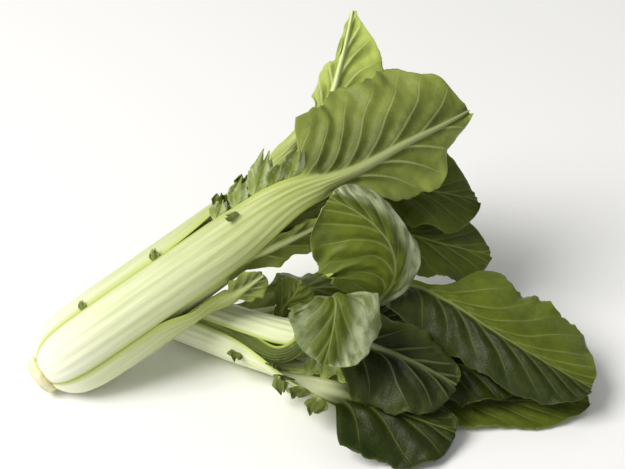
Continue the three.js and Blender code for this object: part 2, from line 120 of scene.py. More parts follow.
# The cut stem, turned: [share of its radius, distance up the head]. It ends in steps inside the stalks.
STEM_PROFILE = [
    (0.02, -8.8), (0.2, -8.75), (0.4, -8.6), (0.62, -8.3), (0.76, -7.8), (0.86, -7.3), (0.93, -6.7),
    (0.98, -5.8), (1.0, -4.8), (1.01, -3.4), (1.02, -2.0), (1.03, -0.6), (1.02, 0.0), (1.0, 0.6),
    (0.76, 0.6), (0.98, 5.0), (1.08, 7.5), (0.66, 7.5), (0.8, 14.4), (0.5, 14.4), (0.5, 19), (0.02, 22),
]
STEM_LOBES = ((4, 0.5, 0.02), (9, 2.0, 0.012))  # how many round it, where they start, and half their depth
STEM_RELIEF = 0.35  # height of the bumps on the cut
STEM_SEED = 5

# A leaf's colours. A pair runs from the darkest leaf to the palest, or from one streak to the next.
FACE = ((0.010, 0.016, 0.002), (0.175, 0.228, 0.015))
FACE_NET = ((0.026, 0.037, 0.006), (0.21, 0.26, 0.035))
FACE_VEIN = ((0.070, 0.092, 0.022), (0.33, 0.38, 0.10))
FACE_SPECK = ((0.018, 0.026, 0.004), (0.11, 0.15, 0.012))
BACK = ((0.011, 0.017, 0.002), (0.46, 0.545, 0.10))
BACK_NET = ((0.026, 0.036, 0.007), (0.48, 0.55, 0.17))
BACK_VEIN = ((0.095, 0.115, 0.035), (0.60, 0.66, 0.26))
# painted shade for the folds beside the side veins
BACK_FOLD_SHADE = ((0.010, 0.015, 0.002), (0.17, 0.22, 0.03))
BACK_SPECK = ((0.018, 0.026, 0.004), (0.33, 0.40, 0.07))
# grey wax with painted sheen
WAX_AND_SHEEN = ((0.19, 0.24, 0.12), (0.60, 0.66, 0.41))
MARGIN = ((0.10, 0.13, 0.03), (0.30, 0.36, 0.08))
LOW_STALK = ((0.75, 0.78, 0.54), (0.66, 0.71, 0.40))
HIGH_STALK = ((0.50, 0.55, 0.21), (0.34, 0.40, 0.105))
STALK_FOOT = (0.87, 0.87, 0.73)
STALK_GREEN = (0.10, 0.13, 0.03)
STALK_MOTTLE = (0.66, 0.72, 0.42)
STALK_SPOT = (0.42, 0.34, 0.12)
STALK_EDGE = (0.46, 0.54, 0.10)
MIDRIB = ((0.080, 0.100, 0.028), (0.72, 0.78, 0.36))
FURROW = ((0.11, 0.14, 0.03), (0.34, 0.40, 0.12))

# The cut stem's colours.
FLESH = ((0.80, 0.75, 0.52), (0.70, 0.63, 0.36))
FLESH_BLOTCH = (0.52, 0.40, 0.17)
SKIN = ((0.84, 0.82, 0.58), (0.68, 0.57, 0.24))
DRY_EDGE = (0.60, 0.54, 0.17)

# The heads: the middle of the cut, the way that the head points, and its radius there and past the swelling.
HEADS = {
    "upper": dict(origin=(-107, -57, 16.2), axis=(0.82, 0.325, 0.465), cut_radius=14.5, radius=32.5),
    "lower": dict(origin=(-52, 30, 20.5), axis=(0.865, -0.5, -0.01), cut_radius=11, radius=22),
}

# The leaves. tone is how light the green of a leaf's two halves is, painted shade and light included: it is
# near
# 0 on leaves that lie in the others' shade, as painted shade, and raised a little on some shaded leaves as
# painted light. bloom is how much grey wax and painted sheen they carry.
# layer 0 is outermost. angle is where the stalk stands round its head, in degrees: 0 on top, 90 in front.
# bundled is how far up the head it keeps to the head's axis, and path is its back past there. The stalk
# starts to narrow at narrow, a share of its length, down to neck, half its width where the blade starts.
# blade is the blade's length, width its two half-widths and bend how far its two halves curl towards the
# inner face, in degrees. Each half begins as a wing, a share of its width, widens from start to shoulder,
# is full width to taper and narrows from there to end, all shares of the length: tip is 0.5 where it is
# round and more where it is pointed. strip is how much of the blade runs on past a half's end.
# wave is the height of the margin's waves and waves how many there are. face is the way that the inner
# face looks at mid-blade.
# veins is the distance from one side vein to the next along the midrib, the cotangent of their angle at the
# blade's start, what the tip adds to it, and how much closer together the veins start near the stalk.
# greening is how fast the stalk turns green: at 1 it is light green by the blade, past 1.4 deep green. Below
# 1 it keeps a stalk pale as painted light where it lies in shade, and well above 1 it darkens a stalk,
# partly as painted shade.
# scraps is how light the green of the leaflets on its two sides is, painted light and shade included.
# leaflets are the torn scraps of blade on a stalk: [distance up the stalk, place across it from -1 to 1,
# length, width, splay from straight out to the side in degrees, lean up the stalk in degrees].
LEAF = dict(
    narrow=0.3, neck=8.5, wing=[0.2, 0.2], start=[-0.04, -0.04], shoulder=[0.35, 0.35],
    taper=[0.55, 0.55], end=[1.005, 1.005], tip=[0.5, 0.5], strip=0.35, wave=3, waves=2, leaflets=[],
    scraps=[0.5, 0.5], greening=1, veins=[19, 0.3, 1.9, 0],
)
LEAVES = {
    "upper": [
        # the broad leaf in front, its back to the front, its leaflets lightened as painted light
        dict(
            tone=[0.4, 0.35], bloom=[0, 0], scraps=[1.7, 1.7], veins=[27, 0.75, 0.9, 0.7], layer=0,
            angle=45, bundled=218, path=[[118, 6, 150], [154, 22, 163], [180, 36, 169], [201, 52, 172]],
            narrow=0.62, neck=9.5, blade=125, width=[44, 60], bend=[45, 35], wing=[0.2, 0.85],
            shoulder=[0.6, 0.45], taper=[0.58, 0.55], end=[0.8, 1.005], tip=[0.7, 0.5], strip=0.85,
            wave=5, waves=2.5, face=[0, 0.82, -0.57],
            leaflets=[
                [54, 1, 6, 6, 30, 20], [118, 1, 8, 8, 20, 30], [170, 1, 14, 14, 70, 52],
                [186, 1, 20, 16, 74, 50], [186, 0.5, 11, 9, 10, -40], [201, 1, 30, 18, 74, 52],
                [216, 1, 17, 14, 45, 55], [229, 1, 20, 18, 72, 45],
            ],
        ),
        # the tallest leaf, standing behind it
        dict(
            tone=[0.95, 0.9], bloom=[0.1, 0.3], layer=0, angle=-45, bundled=212,
            path=[[98, 74, 166], [108, 93, 190], [117, 120, 219]], narrow=0.5, neck=7.5, blade=120,
            width=[39, 26], bend=[10, 100], wing=[0.4, 0.25], start=[0.1, 0.33], shoulder=[0.42, 0.46],
            taper=[0.42, 0.46], end=[1.005, 0.67], tip=[1.1, 0.5], face=[0.1, 0.8, -0.55],
            leaflets=[[178, -1, 9, 14, 5, 40], [196, -1, 10, 15, 0, 50]],
        ),
        # from here on, a little lighter than their own green, as painted light where they lie in shade
        # a short outer leaf, low in front
        dict(
            tone=[0.5, 0.5], bloom=[0.1, 0.1], layer=0, angle=135, bundled=118,
            path=[[30, -36, 67], [52, -33, 85]], narrow=0.6, neck=7, blade=30, width=[13, 13],
            bend=[-20, -20], shoulder=[0.3, 0.3], wave=1.5, face=[0, 0.8, 0.1],
        ),
        dict(
            tone=[0.4, 0.4], bloom=[0, 0], layer=0, angle=225, bundled=190,
            path=[[88, 48, 91], [125, 52, 104], [155, 54, 102], [185, 56, 96], [212, 62, 86]], blade=105,
            width=[34, 34], bend=[30, -20], wave=4, face=[0, -0.3, 1],
        ),
        dict(
            tone=[0.5, 0.5], bloom=[0.2, 0.2], layer=1, angle=0, bundled=190,
            path=[[75, 24, 146], [105, 46, 164], [130, 70, 180]], blade=72, width=[18, 18], bend=[10, 10],
            waves=3, face=[0.3, 0.4, -0.8],
        ),
        # small leaves low in the middle
        dict(
            tone=[0.45, 0.45], bloom=[0, 0], layer=1, angle=90, bundled=165,
            path=[[58, -24, 101], [80, -17, 109], [100, -9, 116]], narrow=0.5, blade=66, width=[21, 8],
            bend=[20, 20], wing=[0.7, 0.2], wave=2,
        ),
        dict(
            tone=[0.4, 0.4], bloom=[0, 0], layer=1, angle=180, bundled=180,
            path=[[82, 16, 80], [115, 26, 84], [148, 30, 78], [184, 32, 66], [222, 40, 50]], blade=120,
            width=[36, 30], bend=[-20, -20], wave=4, face=[-0.1, -0.4, 1],
        ),
        dict(
            tone=[0.45, 0.45], bloom=[0, 0.1], layer=1, angle=270, bundled=185,
            path=[[76, 64, 108], [108, 100, 104], [138, 132, 88]], blade=80, width=[36, 34],
            bend=[-20, -30], shoulder=[0.4, 0.4], wave=4, face=[-0.1, 0.4, 1],
        ),
        dict(
            tone=[0.4, 0.4], bloom=[0, 0], layer=2, angle=133, bundled=168,
            path=[[60, -8, 94], [80, 0, 100], [98, 8, 104]], blade=60, width=[18, 18], bend=[20, 20],
            wave=2,
        ),
        dict(
            tone=[0.35, 0.35], bloom=[0, 0], layer=2, angle=45, bundled=200,
            path=[[92, 12, 127], [122, 30, 132], [150, 44, 132]], blade=72, width=[14, 16],
            bend=[-10, -10], shoulder=[0.4, 0.4], wave=2, face=[0, 0.78, -0.62],
        ),
        dict(
            tone=[0.35, 0.35], bloom=[0, 0], layer=2, angle=225, bundled=200,
            path=[[96, 50, 116], [126, 72, 130], [154, 92, 140]], blade=85, width=[24, 24], bend=[30, 30],
            shoulder=[0.4, 0.4], face=[-0.2, 0, 1],
        ),
    ],
    "lower": [
        # near black, partly its own dark green and partly painted shade under the upper head, its stalk kept
        # pale as painted light
        dict(
            tone=[0, 0.04], bloom=[0, 0], greening=0.4, layer=0, angle=354, bundled=90,
            path=[[70, -42, 48], [103, -62, 54], [126, -73, 57], [157, -84, 50], [188, -93, 36]],
            narrow=0.72, neck=5, blade=92, width=[40, 30], bend=[35, 20], wing=[0.3, 1.25],
            shoulder=[0.3, 0.25], wave=4, face=[0, 0.35, -1],
        ),
        # near black too, partly painted shade, its stalk kept pale as painted light and its leaflets
        # lightened on one side as painted light and darkened on the other as painted shade
        dict(
            tone=[0.1, 0.03], bloom=[0, 0], scraps=[1.5, 0.25], greening=0.45, layer=0, angle=96,
            bundled=90,
            path=[[60, -64, 18], [92, -83, 20], [113, -95, 22], [150, -107, 18], [186, -116, 10]],
            neck=10, blade=82, width=[22, 40], bend=[-20, -30], shoulder=[0.3, 0.16], face=[0, -0.2, 1],
            leaflets=[
                [106, 0.5, 13, 12, 10, 45], [150, 0.5, 12, 12, 0, 40], [166, -1, 19, 14, 130, 0],
                [178, -1, 22, 16, 118, 0], [194, -1, 20, 20, 112, 10], [146, 1, 8, 12, 70, 20],
                [160, 1, 10, 16, 80, 10], [174, 1, 11, 18, 75, 10], [188, 1, 12, 18, 80, 10],
            ],
        ),
        # lies along the table
        dict(
            tone=[0.35, 0.4], bloom=[0, 0], layer=0, angle=182, bundled=90,
            path=[
                [67, -40, 1], [102, -57, 2], [152, -68, 2.5], [202, -75, 2.5], [245, -76, 2.5],
                [286, -76, 2.5],
            ],
            blade=150, width=[27, 27], bend=[-15, -15], shoulder=[0.4, 0.4], wave=2, face=[0, 0, 1],
        ),
        dict(
            tone=[0.4, 0.4], bloom=[0, 0], layer=0, angle=268, bundled=80,
            path=[[58, 31, 18], [90, 48, 11], [118, 60, 4]], blade=74, width=[28, 28], bend=[-20, -20],
            shoulder=[0.4, 0.4], face=[0, 0, 1],
        ),
        # droops over the front, with grey wax and painted sheen, and its stalk deep green partly as painted
        # shade
        dict(
            tone=[0.4, 0.4], bloom=[0.85, 0.5], greening=2.8, layer=1, angle=47, bundled=90,
            path=[
                [60, -63, 36], [82, -77, 62], [97, -73, 90], [102, -84, 100], [100, -98, 85],
                [95, -106, 66],
            ],
            narrow=0.05, neck=5, blade=72, width=[33, 31], bend=[-30, -30], shoulder=[0.3, 0.3],
            face=[0, -0.7, 0.7],
        ),
        # near black as painted shade, deep among the others
        dict(
            tone=[0.05, 0.05], bloom=[0, 0], layer=1, angle=133, bundled=90,
            path=[[60, -47, 9], [110, -58, 18], [155, -58, 24], [200, -64, 25], [232, -78, 18]],
            blade=100, width=[30, 30], bend=[-20, -20], shoulder=[0.4, 0.4], face=[0, -0.2, 1],
        ),
        # the long leaf at the back, its lower half near black as painted shade where it folds down
        dict(
            tone=[0.55, 0.05], bloom=[0.08, 0.04], layer=1, angle=223, bundled=90,
            path=[
                [75, -10, 15], [115, -2, 30], [156, -3, 50], [184, -27, 55], [215, -54, 50],
                [248, -71, 38], [284, -83, 22],
            ],
            blade=166, width=[51, 34], bend=[-2, -60], wing=[0.1, 0.9], start=[0.12, -0.04],
            shoulder=[0.33, 0.2], taper=[0.74, 0.55], tip=[0.42, 0.5], wave=4, waves=2.5,
            face=[0.2, -0.2, 1],
        ),
        # the cupped leaf that stands facing the front, grey wax and painted sheen on its rolled right half
        dict(
            tone=[0.65, 0.42], bloom=[0.12, 1], layer=1, angle=309, bundled=84,
            path=[
                [56, 12, 23], [90, -1, 43], [115, -18, 51], [131, -25, 60], [144, -27, 82],
                [141, -26, 108], [126, -24, 128], [99, -20, 145],
            ],
            narrow=0.1, neck=5.5, blade=105, width=[51, 30], bend=[-15, -100], wing=[0.92, 0.3],
            shoulder=[0.4, 0.4], taper=[0.75, 0.5], tip=[0.42, 0.55], face=[0, -0.8, 0.57],
        ),
        dict(
            tone=[0.4, 0.4], bloom=[0.1, 0.1], layer=2, angle=10, bundled=90,
            path=[[59, -9, 33], [68, -12, 46], [75, -17, 59], [79, -23, 75]], narrow=0.1, neck=5,
            blade=40, width=[15, 15], bend=[-20, -20], shoulder=[0.4, 0.4], wave=2, face=[0, -0.8, 0.57],
        ),
        # hidden in the middle, near black as painted shade
        dict(
            tone=[0.08, 0.08], bloom=[0, 0], layer=2.4, angle=200, bundled=105,
            path=[[80, -31, 12], [104, -24, 13], [126, -9, 15], [146, 3, 18], [166, 9, 22]], narrow=0.1,
            neck=5, blade=64, width=[22, 22], bend=[-10, -10], face=[0, 0, 1],
        ),
    ],
}

# Small helpers.

def smoothstep(x, low, high):
    t = np.clip((x - low) / (high - low), 0, 1)
    return t * t * (3 - 2 * t)


def lerp(a, b, t):
    return a + (b - a) * t


def unit(v):
    return v / np.maximum(np.linalg.norm(v, axis=-1, keepdims=True), 1e-9)


def ripples(rng, x, y, wavelength, count=7):
    """Smooth noise from -1 to 1 over the plane of x and y, in millimetres."""
    total = np.zeros(np.broadcast(x, y).shape)
    turns = rng.uniform(0, 2 * math.pi, count)
    phases = rng.uniform(0, 2 * math.pi, count)
    scales = rng.uniform(0.7, 1.4, count)
    for turn, phase, scale in zip(turns, phases, scales):
        k = 2 * math.pi / (wavelength * scale)
        total = total + np.sin(k * (x * math.cos(turn) + y * math.sin(turn)) + phase)
    return total / math.sqrt(2 * count)


# The leaf's line.

for head in HEADS.values():
    head["origin"] = np.array(head["origin"], float)
    head["axis"] = unit(np.array(head["axis"], float))
    head["up"] = unit(np.array((0, 0, 1.0)) - head["axis"] * head["axis"][2])
    head["side"] = np.cross(head["axis"], head["up"])


def back_radius(head, layer, along):
    swell = (head["radius"] - head["cut_radius"]) * np.exp(-along / SWELL_LENGTH)
    return (head["radius"] - swell) * LAYER_RATIO**layer


def smooth_curve(points, per_span=50):
    """A centripetal curve through the points."""
    p = np.array(points, float)
    p = np.vstack([2 * p[0] - p[1], p, 2 * p[-1] - p[-2]])
    spans = []
    for p0, p1, p2, p3 in zip(p, p[1:], p[2:], p[3:]):
        d0, d1, d2 = (np.linalg.norm(b - a) ** 0.5 for a, b in ((p0, p1), (p1, p2), (p2, p3)))
        t1 = ((p1 - p0) / d0 - (p2 - p0) / (d0 + d1) + (p2 - p1) / d1) * d1
        t2 = ((p2 - p1) / d1 - (p3 - p1) / (d1 + d2) + (p3 - p2) / d2) * d1
        w = np.linspace(0, 1, per_span, endpoint=False)[:, None]
        cubic = (2 * (p1 - p2) + t1 + t2) * w**3
        spans.append(p1 + t1 * w + (3 * (p2 - p1) - 2 * t1 - t2) * w**2 + cubic)
    return np.vstack([*spans, p[-2:-1]])


def spine_of(head, leaf):
    """The leaf's back line from stem to tip, and its frames: t along it, n to the inner face, b across."""
    angle = math.radians(leaf["angle"])
    out = head["up"] * math.cos(angle) + head["side"] * math.sin(angle)
    start = FIRST_START + LAYER_START * leaf["layer"]
    stations = [start + x for x in (0, 4, 9, 17, 30, 50)] + list(range(90, int(leaf["bundled"] - 20), 40))
    stations.append(leaf["bundled"])
    bundled = [head["origin"] + head["axis"] * x + out * back_radius(head, leaf["layer"], x)
               for x in stations]
    points = smooth_curve([*bundled, *leaf["path"]])
    run = np.concatenate([[0], np.cumsum(np.linalg.norm(np.diff(points, axis=0), axis=1))])
    length = run[-1]
    share = np.linspace(0, 1, SPINE_STEPS + 1)
    p = np.stack([np.interp(share * length, run, points[:, k]) for k in range(3)], 1)
    tangent = unit(np.gradient(p, axis=0))
    free = smoothstep(share * length, leaf["bundled"] - 40, leaf["bundled"] + 10)[:, None]
    t = unit(head["axis"] * (1 - free) + tangent * free)
    n = np.empty_like(p)
    last = -out
    for i in range(SPINE_STEPS + 1):
        last = unit(last - t[i] * last.dot(t[i]))
        n[i] = last
    blade_start = 1 - leaf["blade"] / length
    if "face" in leaf:
        middle = round(lerp(blade_start, 1, 0.5) * SPINE_STEPS)
        wanted = unit(np.array(leaf["face"], float))
        wanted = unit(wanted - t[middle] * wanted.dot(t[middle]))
        roll = math.atan2(np.cross(n[middle], wanted).dot(t[middle]), n[middle].dot(wanted))
        roll_start = min(leaf["bundled"] / length, blade_start - 0.15)
        turn = roll * smoothstep(share, roll_start, blade_start + 0.05)[:, None]
        n = n * np.cos(turn) + np.cross(t, n) * np.sin(turn)
    return dict(p=p, t=t, n=n, b=np.cross(t, n), length=length, blade_start=blade_start)


def frame_at(spine, share):
    at = np.linspace(0, 1, SPINE_STEPS + 1)
    mix = {key: np.stack([np.interp(share, at, spine[key][:, k]) for k in range(3)], -1) for key in "ptnb"}
    return mix["p"], unit(mix["t"]), unit(mix["n"]), unit(mix["b"])


def stalk_size(head, leaf, spine, share):
    """Radius, half-width, thickness and flatness of the stalk, or of the midrib that it turns into."""
    along = share * spine["length"]
    up_head = (frame_at(spine, share)[0] - head["origin"]) @ head["axis"]
    radius = back_radius(head, leaf["layer"], up_head)
    blade_at = spine["blade_start"] * spine["length"]
    narrowing = smoothstep(along, leaf["narrow"] * blade_at, 1.04 * blade_at)
    in_blade = np.clip((along - blade_at) / (spine["length"] - blade_at), 0, 1)
    half_width = np.where(along < blade_at, lerp(STALK_SPREAD * radius, leaf["neck"], narrowing),
                          lerp(leaf["neck"], RIB_END_HALF_WIDTH, in_blade**0.4))
    thickness = np.where(along < blade_at, lerp(STALK_THICKNESS * radius, RIB_START_THICKNESS, narrowing),
                         lerp(RIB_START_THICKNESS, RIB_END_THICKNESS, np.sqrt(in_blade)))
    flat = smoothstep(along, blade_at - 60, blade_at - 4)
    return radius, half_width, thickness, flat, in_blade


# A leaf, as one closed sheet: stalk, midrib and blade.

def outline(along, leaf, right):
    """Half-width of the blade's halves against their widest. along runs 0 to 1 and right picks the half."""
    wing, start, shoulder, taper, end, tip = (
        np.array(leaf[key], float)[right] for key in ("wing", "start", "shoulder", "taper", "end", "tip"))
    widening = lerp(wing, 1, smoothstep(along, start, shoulder))
    past = np.maximum(0, (along - taper) / (end - taper))
    narrowing = np.maximum(0, 1 - past**TIP_CURVE) ** tip
    strip = leaf["strip"] * np.sqrt(np.maximum(0.005, 1 - along))
    lobes = 1 + LOBE_SHARE * np.sin(LOBE_RATE * along + leaf["angle"]) * smoothstep(along, 0.05, 0.3)
    return widening * np.maximum(narrowing, strip) * lobes


def leaf_grid(head, leaf, spine):
    """A grid of points over the leaf, with the stalk's frame and sizes at each of its rows.

    up is how far up the leaf a row is. c is a column's place across it, from -1 to 1, side is c's sign and
    right the number of its half."""
    blade_at = spine["blade_start"] * spine["length"]
    foot = np.arange(0, FOOT_LENGTH, FOOT_ROW)
    stalk = np.linspace(FOOT_LENGTH, blade_at, int((blade_at - FOOT_LENGTH) / STALK_ROW))[:-1]
    k = np.linspace(0, 1, int(leaf["blade"] / BLADE_ROW))
    blade = blade_at + leaf["blade"] * (1 - (1 - k) ** TIP_CROWDING)
    up = np.concatenate([foot, stalk, blade])
    half_columns = int(np.clip(max(leaf["width"]) / BLADE_ROW, *HALF_COLUMNS))
    c = np.linspace(-1, 1, 2 * half_columns + 1)[None, :]
    side = np.sign(c) + (c == 0)
    p, _, n, b = (v[:, None, :] for v in frame_at(spine, up / spine["length"]))
    radius, half_width, thickness, flat, in_blade = (
        v[:, None] for v in stalk_size(head, leaf, spine, up / spine["length"]))
    up = up[:, None]
    return SimpleNamespace(
        up=up, blade_at=blade_at, c=c, side=side, right=(side > 0).astype(int), p=p, n=n, b=b, radius=radius,
        half_width=half_width, thickness=thickness, flat=flat, in_blade=in_blade,
        in_sheet=smoothstep(up, blade_at - 10, blade_at + 12))


def add_widths(leaf, g, rng):
    """Adds how wide the leaf is at each row of the grid, and how far across it each point lies.

    whole is the half-width with the blade, q the distance from the midrib along the sheet and a its share of
    whole."""
    g.shape = outline(g.in_blade, leaf, g.right)
    teeth = sum(height * ripples(rng, g.up, 60.0 * g.side, length, 5) for length, height in TEETH)
    jag = lerp(1, 1 + teeth, smoothstep(g.in_blade, 0.02, 0.15))
    width = np.array(leaf["width"], float)[g.right]
    reach = width * g.shape * smoothstep(g.up, g.blade_at - 14, g.blade_at) * jag
    low = g.half_width + 0.5
    g.whole = 0.5 * (low + reach + np.sqrt((low - reach) ** 2 + 4))
    rib_share = lerp(0.94, 0.24, smoothstep(g.up, g.blade_at - 35, g.blade_at + 30))
    past_rib = (np.abs(g.c) - rib_share) / (1 - rib_share)
    q = np.where(np.abs(g.c) < rib_share, g.half_width * np.abs(g.c) / rib_share,
                 g.half_width + (g.whole - g.half_width) * past_rib)
    g.a = q / g.whole
    g.q = q * g.side
    g.core = np.clip(1 - (q / g.half_width) ** 2, 0, 1)


def smooth_face(leaf, g):
    """The inner face before its fine relief, the way that it looks, and the leaf's thickness under it."""
    bend = np.radians(np.array(leaf["bend"], float)[g.right])
    bend = bend * g.shape * smoothstep(g.in_blade, 0, 0.5) + 1e-6
    x = g.side * g.whole * np.sin(bend * g.a) / bend
    phase = 2 * math.pi * leaf["waves"] * g.in_blade + leaf["angle"] + 2.1 * g.right
    wave = leaf["wave"] * g.a**3 * smoothstep(g.in_blade, 0.05, 0.35) * np.sin(phase)
    ruffle = 0.45 * leaf["wave"] * g.a**5 * smoothstep(g.in_blade, 0.1, 0.3)
    ruffle = ruffle * np.sin(2.7 * phase + 1.3 * np.sin(phase) + 2 * g.side)
    y = g.whole * (1 - np.cos(bend * g.a)) / bend + wave + ruffle

    # the stalk is a channel round its head, and the blade a bent sheet
    lift = BLADE_LIFT * g.in_sheet
    edge = lerp(np.minimum(EDGE_THICKNESS, 0.5 * g.thickness), LAMINA, g.in_sheet)
    thick = edge + (g.thickness + lift - edge) * g.core
    turn = g.q / g.radius
    inner_radius = (g.radius * (1 - STALK_LOBE * (turn / STALK_SPREAD) ** 2) - thick)[..., None]
    sin, cos = np.sin(turn)[..., None], np.cos(turn)[..., None]
    channel = g.p + g.b * inner_radius * sin + g.n * (g.radius[..., None] - inner_radius * cos)
    sheet = g.p + g.b * x[..., None] + g.n * (g.thickness + lift + y)[..., None]
    inner = lerp(channel, sheet, g.flat[..., None])

    # the blade comes to rest on the table
    over = (inner[..., 2] - BLADE_REST) / FLOOR_SOFTNESS
    rested = BLADE_REST + FLOOR_SOFTNESS * np.log1p(np.exp(np.minimum(over, 20)))
    rested = np.where(over > 20, inner[..., 2], rested)
    inner[..., 2] = lerp(inner[..., 2], rested, g.in_sheet)

    straight = unit(lerp(g.n * cos - g.b * sin, g.n + 0 * g.b * sin, g.flat[..., None]))
    along_step, across_step = np.gradient(inner, axis=0), np.gradient(inner, axis=1)
    normal = unit(np.cross(across_step, along_step))
    in_blade = smoothstep(g.up, g.blade_at - 5, g.blade_at + 20)[..., None]
    return inner, unit(lerp(straight, normal, in_blade)), thick


def side_veins(leaf, g, rng):
    """A number that is a whole one and a half on each side vein, and the millimetres from one to the next.

    A side vein runs beside the midrib at first, and then turns out."""
    long = leaf["blade"]
    step, start, gain, crowd = leaf["veins"]
    h = g.up - g.blade_at
    out = np.maximum(np.abs(g.q) - 0.6 * g.half_width, 0)
    beside = np.exp(-out / VEIN_TURN)
    spread = 1 + gain * out / long
    share = np.minimum((h - VEIN_LAG * (1 - beside) - start * out) / spread / long, 1)
    count = max(4, round(long / step))
    drift = VEIN_DRIFT * ripples(rng, g.q, h, 40, 5)
    number = count * share * (1 + crowd * (1 - share)) + 0.5 * g.right + drift
    slope = VEIN_LAG / VEIN_TURN * beside + start + gain * share
    pitch = long / count * spread / np.sqrt(1 + slope**2) / (1 + crowd * (1 - 2 * share))
    return number, pitch


def blade_relief(g, rng):
    """How far the inner face bulges, and how far the veins stand proud of the back.

    The side veins lie in furrows of the inner face, and so does the midrib."""
    to_vein = np.abs((g.vein % 1) - 0.5) * g.pitch
    blade_only = smoothstep(np.abs(g.q), 0.7 * g.half_width, 1.6 * g.half_width + 1) * g.in_sheet
    inland = blade_only * smoothstep(1 - g.a, 0.0, 0.3)
    fold = FOLD * (smoothstep(to_vein, 0.3, 0.5 * g.pitch) - 0.5)
    fold = fold * (1 - 0.6 * g.a) * lerp(1, FOLD_AT_TIP, g.in_blade)
    length, height = FINE_PUCKER
    pucker = height * ripples(rng, g.q, g.up, length, 9) * smoothstep(to_vein, 0.0, 4.0)
    length, height = BROAD_PUCKER
    pucker = pucker + height * ripples(rng, g.q, g.up, length, 7) * smoothstep(g.a, 0.1, 0.6)
    furrow = RIB_FURROW * np.exp(-(g.q / (0.6 * g.half_width)) ** 2)
    furrow = furrow * np.minimum(g.thickness / RIB_START_THICKNESS, 1)
    shoulder = np.exp(-((np.abs(g.q) - 1.5 * g.half_width) / (0.7 * g.half_width + 1)) ** 2)
    by_rib = (RIB_SHOULDER * shoulder * blade_only - furrow) * g.in_sheet
    raised = VEIN_HEIGHT * np.exp(-(to_vein / VEIN_HALF_WIDTH) ** 2) * blade_only
    return inland * (fold + pucker) + by_rib, raised * np.clip(1 - g.a, 0, 1) ** 0.6


def stalk_ridges(leaf, g, rng):
    """How far the ridges stand proud of the stalk's back."""
    across = 2 * math.pi * g.q / g.half_width
    count, height = RIDGES
    ridge = height * np.cos(count * across + 0.6 * ripples(rng, 0 * g.q, g.up, 90, 4) + leaf["angle"])
    count, height = FINE_RIDGES
    ridge = ridge + height * np.cos(count * across + ripples(rng, 0 * g.q, g.up, 60, 4))
    return ridge * g.core**0.5 * (1 - 0.6 * g.in_sheet) * smoothstep(g.up, 2, 20)


def leaf_sheet(head, leaf, spine, rng):
    """The leaf's two faces as grids of points, and what the material reads at each point."""
    g = leaf_grid(head, leaf, spine)
    add_widths(leaf, g, rng)
    inner, normal, thick = smooth_face(leaf, g)
    g.vein, g.pitch = side_veins(leaf, g, rng)
    bulge, raised = blade_relief(g, rng)
    thick = thick * (1 - 0.55 * np.abs(g.c) ** 12) + raised + stalk_ridges(leaf, g, rng)
    inner = inner + normal * bulge[..., None]
    back = inner - normal * thick[..., None]

    green = smoothstep(np.abs(g.q), 0.6 * g.half_width, 1.05 * g.half_width + 0.3)
    half = smoothstep(g.q, -4.0, 4.0)
    fields = dict(
        across=g.q, up=g.up - g.blade_at, edge=g.a, vein=g.vein, pitch=g.pitch,
        green=green * smoothstep(g.up, g.blade_at - 26, g.blade_at),
        rise=np.minimum(g.up / g.blade_at, 1) * leaf["greening"], tone=lerp(*leaf["tone"], half),
        bloom=lerp(*leaf["bloom"], half), ridge=g.q / g.half_width)
    return inner, back, {key: value + 0 * g.q for key, value in fields.items()}


